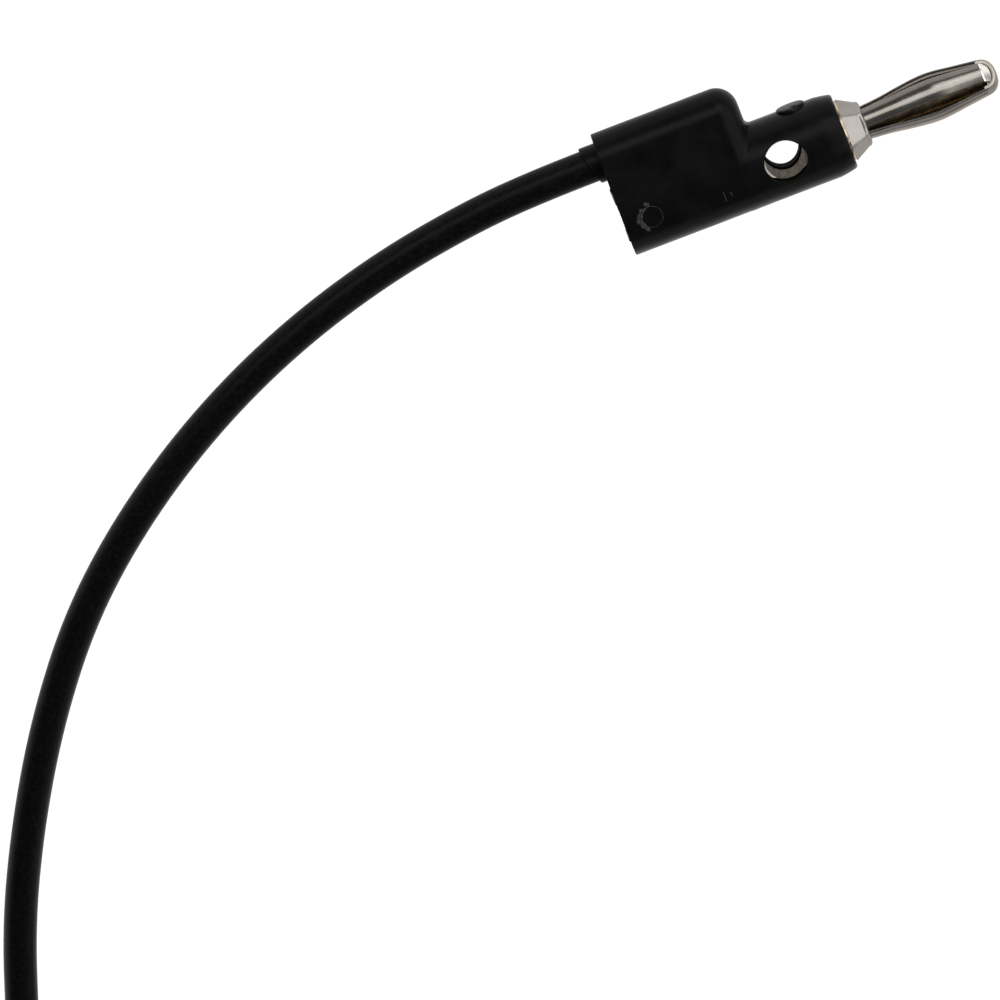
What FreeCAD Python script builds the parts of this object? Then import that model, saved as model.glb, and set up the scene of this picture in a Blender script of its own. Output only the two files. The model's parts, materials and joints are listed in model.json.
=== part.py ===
"""Stackable banana plug ground lead: two moulded plugs on one flexible lead, in millimetres.

Each plug is drawn once in its own frame: x runs along the contact pin from the rear face to
the tip, y points at the raised wire housing, and z runs along the cross hole.
"""
import FreeCAD, Part
import math
import os

Vec = FreeCAD.Vector

# ---- plug moulding ----
BODY_R = 4.45
BODY_START = -0.25
BODY_LENGTH = 24.85
TAPER_START = 22.9
FRONT_R = 4.1
RIM_ROUND = 0.25
HUMP_R = 3.1
WIRE_OFFSET = 6.25
HUMP_LENGTH = 15.4
HUMP_FRONT_ROUND = 2.4
PAD_X = 20.4
PAD_R = 1.7
PAD_PROUD = 0.12
PAD_ROOT = 1.1
DIMPLE_R = 0.6
DIMPLE_DEPTH = 0.2
MOUTH_R = 2.33

# ---- brass contact core ----
CORE_R = 3.175
CORE_START = 1.0
CORE_SHOULDER = 25.3
JACK_R = 2.15
JACK_END = 15.2
CROSS_X = 18.0
HEX_R = 3.42
HEX_END = 26.85
HEX_END_R = 2.35
HEX_TURN = 11.0            # degrees from the cross hole's axis to the nearest flat
NECK_END = 27.3
NECK_R = 1.95
NECK_END_R = 1.85
POST_R = 1.0
POST_START = 22.0

# ---- spring cage on the pin ----
# distance from the rear face, outer radius
SPRING_OUTLINE = [(27.3, 1.84), (29.5, 2.04), (31.6, 2.34), (33.5, 2.57), (34.7, 2.63),
                  (35.9, 2.57), (37.9, 2.31), (40.5, 2.0)]
NOSE_OUTLINE = [(40.46, 2.0), (41.05, 1.8), (41.58, 1.37), (41.9, 0.75), (42.0, 0.0)]
INNER_NOSE_OUTLINE = [(40.46, 2.0), (40.92, 1.52), (41.31, 1.14), (41.58, 0.6), (41.67, 0.0)]
STRIP_THICKNESS = 0.3
STRIP_WIDTH = 2.2
LEAF_WEDGE = math.radians(40.5)
LEAF_COUNT = 4
FIRST_LEAF = 34.0          # degrees from the cross hole's axis towards the wire housing
LEAF_START = 27.38
BELLY_X = 34.7
BELLY_GAP = 0.03
LEAF_END = 40.36

# ---- wire end inside the plug ----
LEAD_R = 1.83
SLEEVE_R = 2.12
SLEEVE_TOP = 1.7           # how far the sleeve stands out of the rear face, outer side
SLEEVE_BOTTOM = 0.8
SLEEVE_DEPTH = 6.0
JACKET_DEPTH = 8.0
CONDUCTOR_R = 0.6
CONDUCTOR_END = 11.5
SOLDER_R = 1.15
SOLDER_TOP_R = 0.8
SOLDER_HEIGHT = 1.5

# ---- where the two plugs lie ----
ROLL = math.asin((BODY_R - HUMP_R) / WIRE_OFFSET)   # both round flanks rest on the table
NEAR_REAR = Vec(-20.15, -2.376, BODY_R)
FAR_HEADING = 3.0
FAR_WIRE_MOUTH = Vec(-65.0, -124.0, HUMP_R)

# ---- lead route: hand-laid points, the lead's centreline goes round inside them ----
NEAR_ROUTE = [
    (-20.15, 3.726, 3.10), (-26.9, 3.726, 3.10), (-35.6, 2.75, 2.36), (-46.8, 0.45, 1.87),
    (-58.6, -3.45, 1.84), (-70.0, -9.15, 1.84), (-80.6, -16.5, 1.84), (-89.7, -24.9, 1.84),
    (-97.4, -35.0, 1.84), (-104.0, -46.0, 1.84), (-109.8, -57.9, 1.84), (-114.1, -70.4, 1.84),
    (-118.7, -82.6, 1.84), (-121.6, -92.3, 1.84),
]
FAR_ROUTE = [
    (-101.5, -124.2, 5.20), (-93.5, -123.95, 5.75), (-83.5, -124.2, 4.70),
    (-71.99, -124.366, 3.10), (-65.0, -124.0, 3.10),
]
ARC_SHARE = 0.45

# ---- coil of the rest of the lead ----
COIL_CENTRE = (-102.6, -104.4)
COIL_INNER_R = 18.2
COIL_OUTER_R = 21.86
COIL_FLOOR = 1.84
COIL_CLIMB = 3.17          # height of the turn that nests on the two floor turns


def cylinder(radius, start, end, y=0.0):
    """A round bar along x."""
    return Part.makeCylinder(radius, end - start, Vec(start, y, 0), Vec(1, 0, 0))


def cross_cylinder(radius, x):
    """A round bar along z, right through the moulding."""
    return Part.makeCylinder(radius, 4 * BODY_R, Vec(x, 0, -2 * BODY_R), Vec(0, 0, 1))


def spline_edge(outline):
    """A smooth edge through (x, radius) points in the x-z half plane."""
    curve = Part.BSplineCurve()
    curve.interpolate([Vec(x, 0, radius) for x, radius in outline])
    return curve.toShape()


def inward(outline, distance):
    """The same outline moved towards the axis, square to itself."""
    moved = []
    last = len(outline) - 1
    for k, (x, radius) in enumerate(outline):
        before = outline[max(k - 1, 0)]
        after = outline[min(k + 1, last)]
        dx = after[0] - before[0]
        dr = after[1] - before[1]
        size = math.hypot(dx, dr)
        moved.append((x + distance * dr / size, radius - distance * dx / size))
    return moved


def turned(edges):
    """A solid of revolution about x from a closed run of edges."""
    face = Part.Face(Part.Wire(Part.__sortEdges__(edges)))
    return face.revolve(Vec(0, 0, 0), Vec(1, 0, 0), 360)


def spring_shell():
    """The whole barrel that the four leaves are parts of."""
    inside = inward(SPRING_OUTLINE, STRIP_THICKNESS)
    outer, inner = spline_edge(SPRING_OUTLINE), spline_edge(inside)
    ends = []
    for k in (0, -1):
        a, b = SPRING_OUTLINE[k], inside[k]
        ends.append(Part.makeLine(Vec(a[0], 0, a[1]), Vec(b[0], 0, b[1])))
    return turned([outer, inner] + ends)


def cap(outline):
    """A solid nose under a spline outline that ends on the axis."""
    start, end = outline[0], outline[-1]
    base = Part.makeLine(Vec(start[0], 0, 0), Vec(start[0], 0, start[1]))
    axis = Part.makeLine(Vec(start[0], 0, 0), Vec(end[0], 0, 0))
    return turned([spline_edge(outline), base, axis])


def about_x(shape, degrees):
    """Turned about the pin's axis, from z towards y."""
    shape.rotate(Vec(0, 0, 0), Vec(1, 0, 0), -degrees)
    return shape


def leaf_prism(start, end):
    """The sector and width that one leaf may fill, with its middle on z."""
    half = STRIP_WIDTH / 2
    narrow = half / math.tan(LEAF_WEDGE)
    reach = 2 * BODY_R
    corners = [(0, 0), (half, narrow), (half, reach), (-half, reach), (-half, narrow), (0, 0)]
    face = Part.Face(Part.makePolygon([Vec(start, y, z) for y, z in corners]))
    return face.extrude(Vec(end - start, 0, 0))


def leaf_angles():
    return [FIRST_LEAF + k * 360.0 / LEAF_COUNT for k in range(LEAF_COUNT)]


def leaf(shell, angle, start, end):
    """One half of a sprung leaf, cambered across and bowed along."""
    return shell.common(about_x(leaf_prism(start, end), angle))


def nose_band(outline, angle):
    """A strip of even width that folds over the nose, square to its leaves."""
    inside = inward(outline, STRIP_THICKNESS)
    inside[0] = (outline[0][0], outline[0][1] - STRIP_THICKNESS)
    inside[-1] = (outline[-1][0] - STRIP_THICKNESS, 0.0)
    shell = cap(outline).cut(cap(inside))
    width = Part.makeBox(4, STRIP_WIDTH, 4 * BODY_R, Vec(39.0, -STRIP_WIDTH / 2, -2 * BODY_R))
    return shell.common(about_x(width, angle))


def hexagon(radius, x):
    """A closed hexagon square to x, with a flat HEX_TURN from z."""
    corners = [math.radians(HEX_TURN + 30 + 60 * k) for k in range(7)]
    return Part.makePolygon([Vec(x, radius * math.sin(a), radius * math.cos(a)) for a in corners])


def contact_core():
    body = cylinder(CORE_R, CORE_START, CORE_SHOULDER)
    crimp = Part.makeLoft([hexagon(HEX_R, CORE_SHOULDER), hexagon(HEX_END_R, HEX_END)], True)
    neck = Part.makeCone(NECK_R, NECK_END_R, NECK_END - HEX_END, Vec(HEX_END, 0, 0), Vec(1, 0, 0))
    solid = body.fuse(crimp).fuse(neck).removeSplitter()
    for hollow in (cylinder(JACK_R, 0, JACK_END), cross_cylinder(JACK_R, CROSS_X),
                   cylinder(POST_R, POST_START, NECK_END + 1)):
        solid = solid.cut(hollow)
    return solid


def centre_post():
    end = INNER_NOSE_OUTLINE[-1][0] - STRIP_THICKNESS
    return cylinder(POST_R, POST_START, end).cut(nose_filling())


def nose_filling():
    """Everything from the inner strip's underside outwards, to trim the post to it."""
    inside = inward(INNER_NOSE_OUTLINE, STRIP_THICKNESS)
    inside[0] = (INNER_NOSE_OUTLINE[0][0], INNER_NOSE_OUTLINE[0][1] - STRIP_THICKNESS)
    inside[-1] = (INNER_NOSE_OUTLINE[-1][0] - STRIP_THICKNESS, 0.0)
    return cap(INNER_NOSE_OUTLINE).cut(cap(inside))


def wire_pieces():
    """Sleeve, jacket end, bare conductor and solder joint, as one dictionary."""
    mouth = [(-SLEEVE_TOP, WIRE_OFFSET + SLEEVE_R), (SLEEVE_DEPTH, WIRE_OFFSET + SLEEVE_R),
             (SLEEVE_DEPTH, WIRE_OFFSET - SLEEVE_R), (-SLEEVE_BOTTOM, WIRE_OFFSET - SLEEVE_R)]
    outline = Part.makePolygon([Vec(x, y, -BODY_R) for x, y in mouth + mouth[:1]])
    slanted = Part.Face(outline).extrude(Vec(0, 0, 2 * BODY_R))
    ring = cylinder(SLEEVE_R, -SLEEVE_TOP, SLEEVE_DEPTH, WIRE_OFFSET)
    bore = cylinder(LEAD_R, -2 * SLEEVE_TOP, SLEEVE_DEPTH + 1, WIRE_OFFSET)
    along = cylinder(CONDUCTOR_R, JACKET_DEPTH, CONDUCTOR_END, WIRE_OFFSET)
    corner = Part.makeSphere(CONDUCTOR_R, Vec(CONDUCTOR_END, WIRE_OFFSET, 0))
    down = Part.makeCylinder(CONDUCTOR_R, WIRE_OFFSET, Vec(CONDUCTOR_END, 0, 0), Vec(0, 1, 0))
    core = cylinder(CORE_R, CORE_START, CORE_SHOULDER)
    conductor = along.fuse(corner).fuse(down).cut(core).removeSplitter()
    blob = Part.makeCone(SOLDER_R, SOLDER_TOP_R, SOLDER_HEIGHT + CORE_R / 2,
                         Vec(CONDUCTOR_END, CORE_R / 2, 0), Vec(0, 1, 0))
    return {
        "cable_sleeve": ring.common(slanted).cut(bore),
        "jacket_end": cylinder(LEAD_R, 0, JACKET_DEPTH, WIRE_OFFSET),
        "conductor": conductor,
        "solder_joint": blob.cut(core).cut(conductor),
    }


def wire_housing():
    """The raised housing: a round top on tangent flanks, rounded at the front."""
    lean = math.acos((BODY_R - HUMP_R) / WIRE_OFFSET)
    low = Vec(BODY_START, BODY_R * math.cos(lean), BODY_R * math.sin(lean))
    high = Vec(BODY_START, WIRE_OFFSET + HUMP_R * math.cos(lean), HUMP_R * math.sin(lean))
    crown = Vec(BODY_START, WIRE_OFFSET + HUMP_R, 0)
    low_back, high_back = Vec(BODY_START, low.y, -low.z), Vec(BODY_START, high.y, -high.z)
    edges = [
        Part.makeLine(low_back, low),
        Part.makeLine(low, high),
        Part.Arc(high, crown, high_back).toShape(),
        Part.makeLine(high_back, low_back),
    ]
    solid = Part.Face(Part.Wire(edges)).extrude(Vec(HUMP_LENGTH - BODY_START, 0, 0))
    front = [e for e in solid.Edges
             if e.BoundBox.XMin > HUMP_LENGTH - 0.01 and e.BoundBox.YMax > WIRE_OFFSET]
    return solid.makeFillet(HUMP_FRONT_ROUND, front)


def moulding(inner_pieces):
    """The plastic, moulded round everything that is inside it."""
    barrel = cylinder(BODY_R, BODY_START, TAPER_START)
    taper = Part.makeCone(BODY_R, FRONT_R, BODY_LENGTH - TAPER_START,
                          Vec(TAPER_START, 0, 0), Vec(1, 0, 0))
    rim = [e for e in taper.Edges if e.BoundBox.XMin > BODY_LENGTH - 0.01]
    taper = taper.makeFillet(RIM_ROUND, rim)
    solid = barrel.fuse(taper).fuse(wire_housing()).removeSplitter()
    pad = Part.makeCylinder(PAD_R, PAD_ROOT + PAD_PROUD,
                            Vec(PAD_X, BODY_R - PAD_ROOT, 0), Vec(0, 1, 0))
    dimple = Part.makeSphere(DIMPLE_R, Vec(PAD_X, BODY_R + PAD_PROUD + DIMPLE_R - DIMPLE_DEPTH, 0))
    solid = solid.fuse(pad).cut(dimple)
    hollows = [cylinder(MOUTH_R, -1, CORE_START), cross_cylinder(MOUTH_R, CROSS_X),
               cylinder(CORE_R, CORE_START, BODY_LENGTH + 1),
               cylinder(SLEEVE_R, -1, SLEEVE_DEPTH, WIRE_OFFSET),
               inner_pieces["jacket_end"], inner_pieces["conductor"], inner_pieces["solder_joint"]]
    for hollow in hollows:
        solid = solid.cut(hollow)
    return solid


def plug_pieces():
    """Every piece of one plug, in the plug's own frame."""
    pieces = wire_pieces()
    pieces["body_molding"] = moulding(pieces)
    pieces["contact_core"] = contact_core()
    pieces["centre_post"] = centre_post()
    pieces["inner_nose"] = nose_band(INNER_NOSE_OUTLINE, FIRST_LEAF)
    pieces["outer_nose"] = nose_band(NOSE_OUTLINE, FIRST_LEAF + 90)
    shell = spring_shell()
    for k, angle in enumerate(leaf_angles(), start=1):
        pieces[f"leaf_{k}_rear"] = leaf(shell, angle, LEAF_START, BELLY_X - BELLY_GAP / 2)
        pieces[f"leaf_{k}_front"] = leaf(shell, angle, BELLY_X + BELLY_GAP / 2, LEAF_END)
    return pieces


def near_placement():
    """Lying on its flank, housing side down towards +y."""
    return FreeCAD.Placement(NEAR_REAR, FreeCAD.Rotation(Vec(1, 0, 0), -math.degrees(ROLL)))


def far_placement():
    """Lying on its other flank, with the wire mouth where the lead's far end is."""
    roll = FreeCAD.Rotation(Vec(1, 0, 0), 180 + math.degrees(ROLL))
    turn = FreeCAD.Rotation(Vec(0, 0, 1), FAR_HEADING).multiply(roll)
    return FreeCAD.Placement(FAR_WIRE_MOUTH - turn.multVec(Vec(0, WIRE_OFFSET, 0)), turn)


def routed_path(route, name):
    """Straight runs joined by tangent arcs, each arc as large as its two runs allow."""
    points = [Vec(*p) for p in route]
    edges = []
    at = points[0]
    length = 0.0
    for before, corner, after in zip(points, points[1:], points[2:]):
        back, ahead = before - corner, after - corner
        shorter = min(back.Length, ahead.Length)
        half_turn = (math.pi - back.getAngle(ahead)) / 2
        trim = ARC_SHARE * shorter
        radius = trim / math.tan(half_turn)
        back.normalize()
        ahead.normalize()
        start, end = corner + back * trim, corner + ahead * trim
        middle_way = (back + ahead).normalize()
        middle = corner + middle_way * (radius / math.cos(half_turn) - radius)
        edges.append(Part.LineSegment(at, start).toShape())
        edges.append(Part.Arc(start, middle, end).toShape())
        length += (start - at).Length + radius * 2 * half_turn
        at = end
        print(f"{name}: run {shorter:.1f}, turn {math.degrees(2 * half_turn):.1f}, radius {radius:.0f}")
    edges.append(Part.LineSegment(at, points[-1]).toShape())
    length += (points[-1] - at).Length
    return Part.Wire(edges), points, length


def lead_tube(route, name):
    """The lead's solid along one stretch of its route."""
    path, points, length = routed_path(route, name)
    section = Part.Wire(Part.makeCircle(LEAD_R, points[0], points[1] - points[0]))
    tube = path.makePipeShell([section], True, False)
    share = tube.Volume / (math.pi * LEAD_R ** 2 * length)
    print(f"{name}: length {length:.1f}, volume against section times length {share:.4f}")
    return tube


def coil_ring():
    """The outer shape of the coiled turns: two turns side by side and one nested on top."""
    middle = (COIL_INNER_R + COIL_OUTER_R) / 2
    centres = [(COIL_INNER_R, COIL_FLOOR), (COIL_OUTER_R, COIL_FLOOR), (middle, COIL_FLOOR + COIL_CLIMB)]
    corners = [Vec(radius, 0, z) for radius, z in centres]
    edges = []
    for k, corner in enumerate(corners):
        before, after = corners[k - 1], corners[(k + 1) % 3]
        way_in = square_out(before, corner) * LEAD_R
        way_out = square_out(corner, after) * LEAD_R
        bulge = (way_in + way_out).normalize() * LEAD_R
        edges.append(Part.Arc(corner + way_in, corner + bulge, corner + way_out).toShape())
        edges.append(Part.makeLine(corner + way_out, after + square_out(corner, after) * LEAD_R))
    section = Part.Face(Part.Wire(Part.__sortEdges__(edges)))
    ring = section.revolve(Vec(0, 0, 0), Vec(0, 0, 1), 360)
    ring.translate(Vec(COIL_CENTRE[0], COIL_CENTRE[1], 0))
    return ring


def square_out(start, end):
    """The unit vector that points out of a triangle listed anticlockwise, across one side."""
    along = (end - start).normalize()
    return Vec(along.z, 0, -along.x)


def main():
    os.makedirs("parts", exist_ok=True)
    for prefix, place in (("near", near_placement()), ("far", far_placement())):
        for name, shape in plug_pieces().items():
            shape.Placement = place.multiply(shape.Placement)
            save(shape, f"{prefix}_{name}")
    ring = coil_ring()
    save(ring, "lead_coil")
    save(lead_tube(NEAR_ROUTE, "near lead").cut(ring), "lead_near_run")
    save(lead_tube(FAR_ROUTE, "far lead").cut(ring), "lead_far_run")


def save(shape, name):
    """One node per file, as one plain solid."""
    if len(shape.Solids) != 1 or not shape.isValid():
        print("look at", name, "solids", len(shape.Solids), "valid", shape.isValid())
    solid = shape.Solids[0]
    solid.exportStep(f"parts/{name}.step")
    box = solid.BoundBox
    print(f"{name}: {solid.Volume:.2f} mm3, x {box.XMin:.2f} {box.XMax:.2f},"
          f" y {box.YMin:.2f} {box.YMax:.2f}, z {box.ZMin:.2f} {box.ZMax:.2f}")


main()
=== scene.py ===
"""Looks of the stackable banana plug ground lead: lead, moulded plugs and sprung pins, in metres."""
import json
import math

import bmesh
import bpy
from mathutils import Matrix, Vector, noise


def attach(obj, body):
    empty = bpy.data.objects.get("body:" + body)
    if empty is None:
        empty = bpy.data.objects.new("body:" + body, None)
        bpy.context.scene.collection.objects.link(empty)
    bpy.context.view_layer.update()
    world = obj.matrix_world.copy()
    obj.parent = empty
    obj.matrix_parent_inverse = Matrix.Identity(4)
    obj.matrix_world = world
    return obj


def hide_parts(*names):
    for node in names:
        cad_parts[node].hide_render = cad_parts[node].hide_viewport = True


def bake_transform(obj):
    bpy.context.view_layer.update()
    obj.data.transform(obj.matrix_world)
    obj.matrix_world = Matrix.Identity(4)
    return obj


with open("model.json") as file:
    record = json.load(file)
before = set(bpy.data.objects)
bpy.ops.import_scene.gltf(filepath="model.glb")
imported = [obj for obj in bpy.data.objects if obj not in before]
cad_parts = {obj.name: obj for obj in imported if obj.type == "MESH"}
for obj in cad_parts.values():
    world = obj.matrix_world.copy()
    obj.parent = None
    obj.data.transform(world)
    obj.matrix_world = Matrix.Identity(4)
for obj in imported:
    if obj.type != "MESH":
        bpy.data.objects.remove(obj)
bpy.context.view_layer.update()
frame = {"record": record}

MM = 0.001

# ---- sizes in millimetres; where the CAD model's size differs, the line gives it ----
BODY_R = 4.45
BODY_START = -0.25
BODY_LENGTH = 24.85
TAPER_START = 22.9
FRONT_R = 4.1
HUMP_R = 3.1
WIRE_OFFSET = 6.25
HUMP_LENGTH = 15.4
HUMP_FRONT_ROUND = 2.4
MOUTH_R = 2.33
PAD_X = 20.4
PAD_R = 1.58               # CAD 1.7
PAD_PROUD = 0.23           # CAD 0.12
CORE_R = 3.175
BARREL_R = 2.9             # CAD 3.175; thinner here so that more plastic shows in the cross hole
CORE_START = 1.0
CORE_SHOULDER = 25.08      # CAD 25.3
JACK_R = 2.15
LOWER_MOUTH_R = 1.95       # CAD 2.33; narrower than the bore here, for looks only
JACK_END = 15.2
CROSS_X = 18.0
HEX_R = 3.58               # CAD 3.42
HEX_END = 26.85
HEX_END_R = 2.58           # CAD 2.35
HEX_TURN = math.radians(11)
POST_R = 1.12              # CAD 1.0
POST_SWELL = 0.2           # none in the CAD
PIN_BASE = 27.3
NECK_R = 1.85              # the CAD neck tapers to this from 1.95
SPRING_OUTLINE = [(27.3, 1.84), (29.5, 2.04), (31.6, 2.34), (33.5, 2.57), (34.7, 2.63),
                  (35.9, 2.57), (37.9, 2.31), (40.5, 2.0)]
STRIP_THICKNESS = 0.3
STRIP_WIDTH = 2.12         # at the ends; CAD 2.2 all along
BELLY_WIDTH = 2.42         # CAD 2.2
LEAF_WEDGE = math.radians(40.5)
LEAF_COUNT = 4
FIRST_LEAF = math.radians(34)
LEAF_START = 27.14         # CAD 27.38
LEAF_END = 40.44           # CAD 40.36
BELLY_X = 34.7
LEAD_R = 1.83
SLEEVE_R = 2.12
SLEEVE_TOP = 2.0           # CAD 1.7
SLEEVE_BOTTOM = 0.9        # CAD 0.8
SLEEVE_DEPTH = 6.0

# ---- the lead's route: the same points as the CAD tube ----
NEAR_ROUTE = [
    (-20.15, 3.726, 3.10), (-26.9, 3.726, 3.10), (-35.6, 2.75, 2.36), (-46.8, 0.45, 1.87),
    (-58.6, -3.45, 1.84), (-70.0, -9.15, 1.84), (-80.6, -16.5, 1.84), (-89.7, -24.9, 1.84),
    (-97.4, -35.0, 1.84), (-104.0, -46.0, 1.84), (-109.8, -57.9, 1.84), (-114.1, -70.4, 1.84),
    (-118.7, -82.6, 1.84), (-121.6, -92.3, 1.84),
]
FAR_ROUTE = [
    (-101.5, -124.2, 5.20), (-93.5, -123.95, 5.75), (-83.5, -124.2, 4.70),
    (-71.99, -124.366, 3.10), (-65.0, -124.0, 3.10),
]
COIL_CENTRE = (-102.6, -104.4)
COIL_INNER_R = 18.2
COIL_OUTER_R = 21.86
COIL_FLOOR = 1.84
COIL_START = 165.0         # degrees round the coil's centre
COIL_TURNS = 3.28
POINTS_PER_TURN = 18
TURN_PITCH = 3.70


# ================================================================ camera
CAMERA_AT = (0.85, 433.4, 890.02)
CAMERA_AIMS_AT = (-43.60, -28.84, 4.45)
CAMERA_ROLL = math.radians(20.84)
LENS = 336.8


def make_camera():
    data = bpy.data.cameras.new("camera")
    data.lens = LENS
    data.sensor_width = 36.0
    data.clip_start = 0.05
    data.clip_end = 10.0
    camera = bpy.data.objects.new("camera", data)
    bpy.context.scene.collection.objects.link(camera)
    at = Vector(CAMERA_AT) * MM
    back = (at - Vector(CAMERA_AIMS_AT) * MM).normalized()
    along = Vector((1, 0, 0))
    right = (along - back * along.dot(back)).normalized()
    up = back.cross(right)
    turned_right = right * math.cos(CAMERA_ROLL) - up * math.sin(CAMERA_ROLL)
    turned_up = right * math.sin(CAMERA_ROLL) + up * math.cos(CAMERA_ROLL)
    camera.matrix_world = Matrix((
        (turned_right.x, turned_up.x, back.x, at.x),
        (turned_right.y, turned_up.y, back.y, at.y),
        (turned_right.z, turned_up.z, back.z, at.z),
        (0, 0, 0, 1),
    ))
    bpy.context.scene.camera = camera


make_camera()


# ================================================================ lead
def ease(value, start, end):
    """0 before start, 1 after end, smooth between."""
    share = min(max((value - start) / (end - start), 0.0), 1.0)
    return share * share * (3 - 2 * share)


def first_turn_radius(turn):
    """The floor turn starts outside and moves in beside itself before it comes round."""
    return COIL_OUTER_R - (COIL_OUTER_R - COIL_INNER_R) * ease(turn, 0.70, 0.98)


def coil_place(turn):
    """Radius and height of the lead's centre after so many turns."""
    if turn < 1.4:
        return first_turn_radius(turn), COIL_FLOOR
    middle = (COIL_INNER_R + COIL_OUTER_R) / 2
    below = first_turn_radius(turn % 1.0)
    if turn < 1.68:
        lean = math.pi - math.radians(60) * ease(turn, 1.4, 1.68)
        return below + TURN_PITCH * math.cos(lean), COIL_FLOOR + TURN_PITCH * math.sin(lean)
    return middle, COIL_FLOOR + math.sqrt(TURN_PITCH ** 2 - (middle - below) ** 2)


def coil_points():
    step = 2 * math.pi / POINTS_PER_TURN
    outside = 0.75 + 0.25 * math.cos(step)     # the curve runs this much inside its points
    points = []
    for k in range(int(COIL_TURNS * POINTS_PER_TURN) + 1):
        radius, height = coil_place(k / POINTS_PER_TURN)
        angle = math.radians(COIL_START) + k * step
        points.append((COIL_CENTRE[0] + radius / outside * math.cos(angle),
                       COIL_CENTRE[1] + radius / outside * math.sin(angle), height))
    return points


def make_lead():
    curve = bpy.data.curves.new("lead", "CURVE")
    curve.dimensions = "3D"
    curve.bevel_depth = 1.0      # a factor on each point's radius, which also sets the curve's box
    curve.bevel_resolution = 10
    curve.resolution_u = 8
    points = NEAR_ROUTE + coil_points() + FAR_ROUTE
    spline = curve.splines.new("NURBS")
    spline.points.add(len(points) - 1)
    for point, place in zip(spline.points, points):
        point.co = (place[0] * MM, place[1] * MM, place[2] * MM, 1)
        point.radius = LEAD_R * MM
    spline.order_u = 3
    spline.use_endpoint_u = True
    lead = bpy.data.objects.new("lead", curve)
    bpy.context.scene.collection.objects.link(lead)
    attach(lead, "lead")
    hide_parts("lead_near_run", "lead_coil", "lead_far_run")
    return lead


lead = make_lead()


# ================================================================ materials
PLASTIC_SHINE = 0.062      # both blacks reflect far less than glossy plastic
EDGE_TINT = (0.62, 0.60, 0.57)   # tarnish keeps the metals from going white at glancing angles
LEAF_EDGE_TINT = (0.98, 0.93, 0.87)


def new_material(name, color, roughness, metallic=0.0, specular=0.5):
    material = bpy.data.materials.new(name)
    material.use_nodes = True
    tree = material.node_tree
    shader = tree.nodes["Principled BSDF"]
    shader.inputs["Base Color"].default_value = (*color, 1)
    shader.inputs["Roughness"].default_value = roughness
    shader.inputs["Metallic"].default_value = metallic
    shader.inputs["Specular IOR Level"].default_value = specular
    return material, tree, shader


def place_noise(tree, scale, detail=3.0, stretch=(1, 1, 1), turn=(0, 0, 0)):
    """Noise in the row's own coordinates, with scale in cells per millimetre."""
    coords = tree.nodes.new("ShaderNodeTexCoord")
    mapping = tree.nodes.new("ShaderNodeMapping")
    mapping.inputs["Rotation"].default_value = turn
    mapping.inputs["Scale"].default_value = [s * scale / MM for s in stretch]
    texture = tree.nodes.new("ShaderNodeTexNoise")
    texture.inputs["Scale"].default_value = 1.0
    texture.inputs["Detail"].default_value = detail
    tree.links.new(coords.outputs["Object"], mapping.inputs["Vector"])
    tree.links.new(mapping.outputs["Vector"], texture.inputs["Vector"])
    return texture.outputs["Fac"]


def spread_to(tree, source, socket, low, high, start=0.3, end=0.7):
    """Feed a socket with a value or grey that follows source between two limits."""
    ramp = tree.nodes.new("ShaderNodeMapRange")
    ramp.inputs["From Min"].default_value = start
    ramp.inputs["From Max"].default_value = end
    ramp.inputs["To Min"].default_value = low
    ramp.inputs["To Max"].default_value = high
    tree.links.new(source, ramp.inputs["Value"])
    tree.links.new(ramp.outputs["Result"], socket)


def color_between(tree, source, socket, dark, light, start=0.3, end=0.7):
    ramp = tree.nodes.new("ShaderNodeValToRGB")
    ramp.color_ramp.elements[0].position = start
    ramp.color_ramp.elements[0].color = (*dark, 1)
    ramp.color_ramp.elements[1].position = end
    ramp.color_ramp.elements[1].color = (*light, 1)
    tree.links.new(source, ramp.inputs["Fac"])
    tree.links.new(ramp.outputs["Color"], socket)


def bump(tree, shader, layers):
    """Stack bump layers, each (height source, depth in millimetres)."""
    last = None
    for source, depth in layers:
        node = tree.nodes.new("ShaderNodeBump")
        node.inputs["Strength"].default_value = 1.0
        node.inputs["Distance"].default_value = depth * MM
        tree.links.new(source, node.inputs["Height"])
        if last:
            tree.links.new(last.outputs["Normal"], node.inputs["Normal"])
        last = node
    tree.links.new(last.outputs["Normal"], shader.inputs["Normal"])


def moulded_plastic():
    material, tree, shader = new_material("moulded_black", (0.003, 0.003, 0.003), 0.3,
                                          specular=PLASTIC_SHINE)
    cloud = place_noise(tree, 0.35, 4)
    grain = place_noise(tree, 9.0, 2)
    specks = place_noise(tree, 1.9, 2)
    color_between(tree, cloud, shader.inputs["Base Color"],
                  (0.0018, 0.0018, 0.002), (0.004, 0.004, 0.0042))
    spread_to(tree, cloud, shader.inputs["Roughness"], 0.24, 0.36)
    bump(tree, shader, [(cloud, 0.035), (specks, 0.008), (grain, 0.002)])
    return material


def dull_plastic():
    """The unpolished walls of the moulding's holes."""
    material, tree, shader = new_material("hole_black", (0.003, 0.003, 0.003), 0.8, specular=0.03)
    grain = place_noise(tree, 3.0, 4)
    color_between(tree, grain, shader.inputs["Base Color"], (0.002, 0.002, 0.002), (0.006, 0.0055, 0.005))
    bump(tree, shader, [(grain, 0.03)])
    return material


def torn_plastic():
    """The paler, rougher skin of flash and torn plastic, here on the ejector mark, its flakes and the
    cavity mark.
    """
    material, tree, shader = new_material("torn_black", (0.02, 0.02, 0.02), 0.55, specular=0.2)
    chips = place_noise(tree, 5.0, 4)
    color_between(tree, chips, shader.inputs["Base Color"], (0.004, 0.004, 0.004), (0.055, 0.055, 0.053))
    bump(tree, shader, [(chips, 0.05)])
    return material


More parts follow.
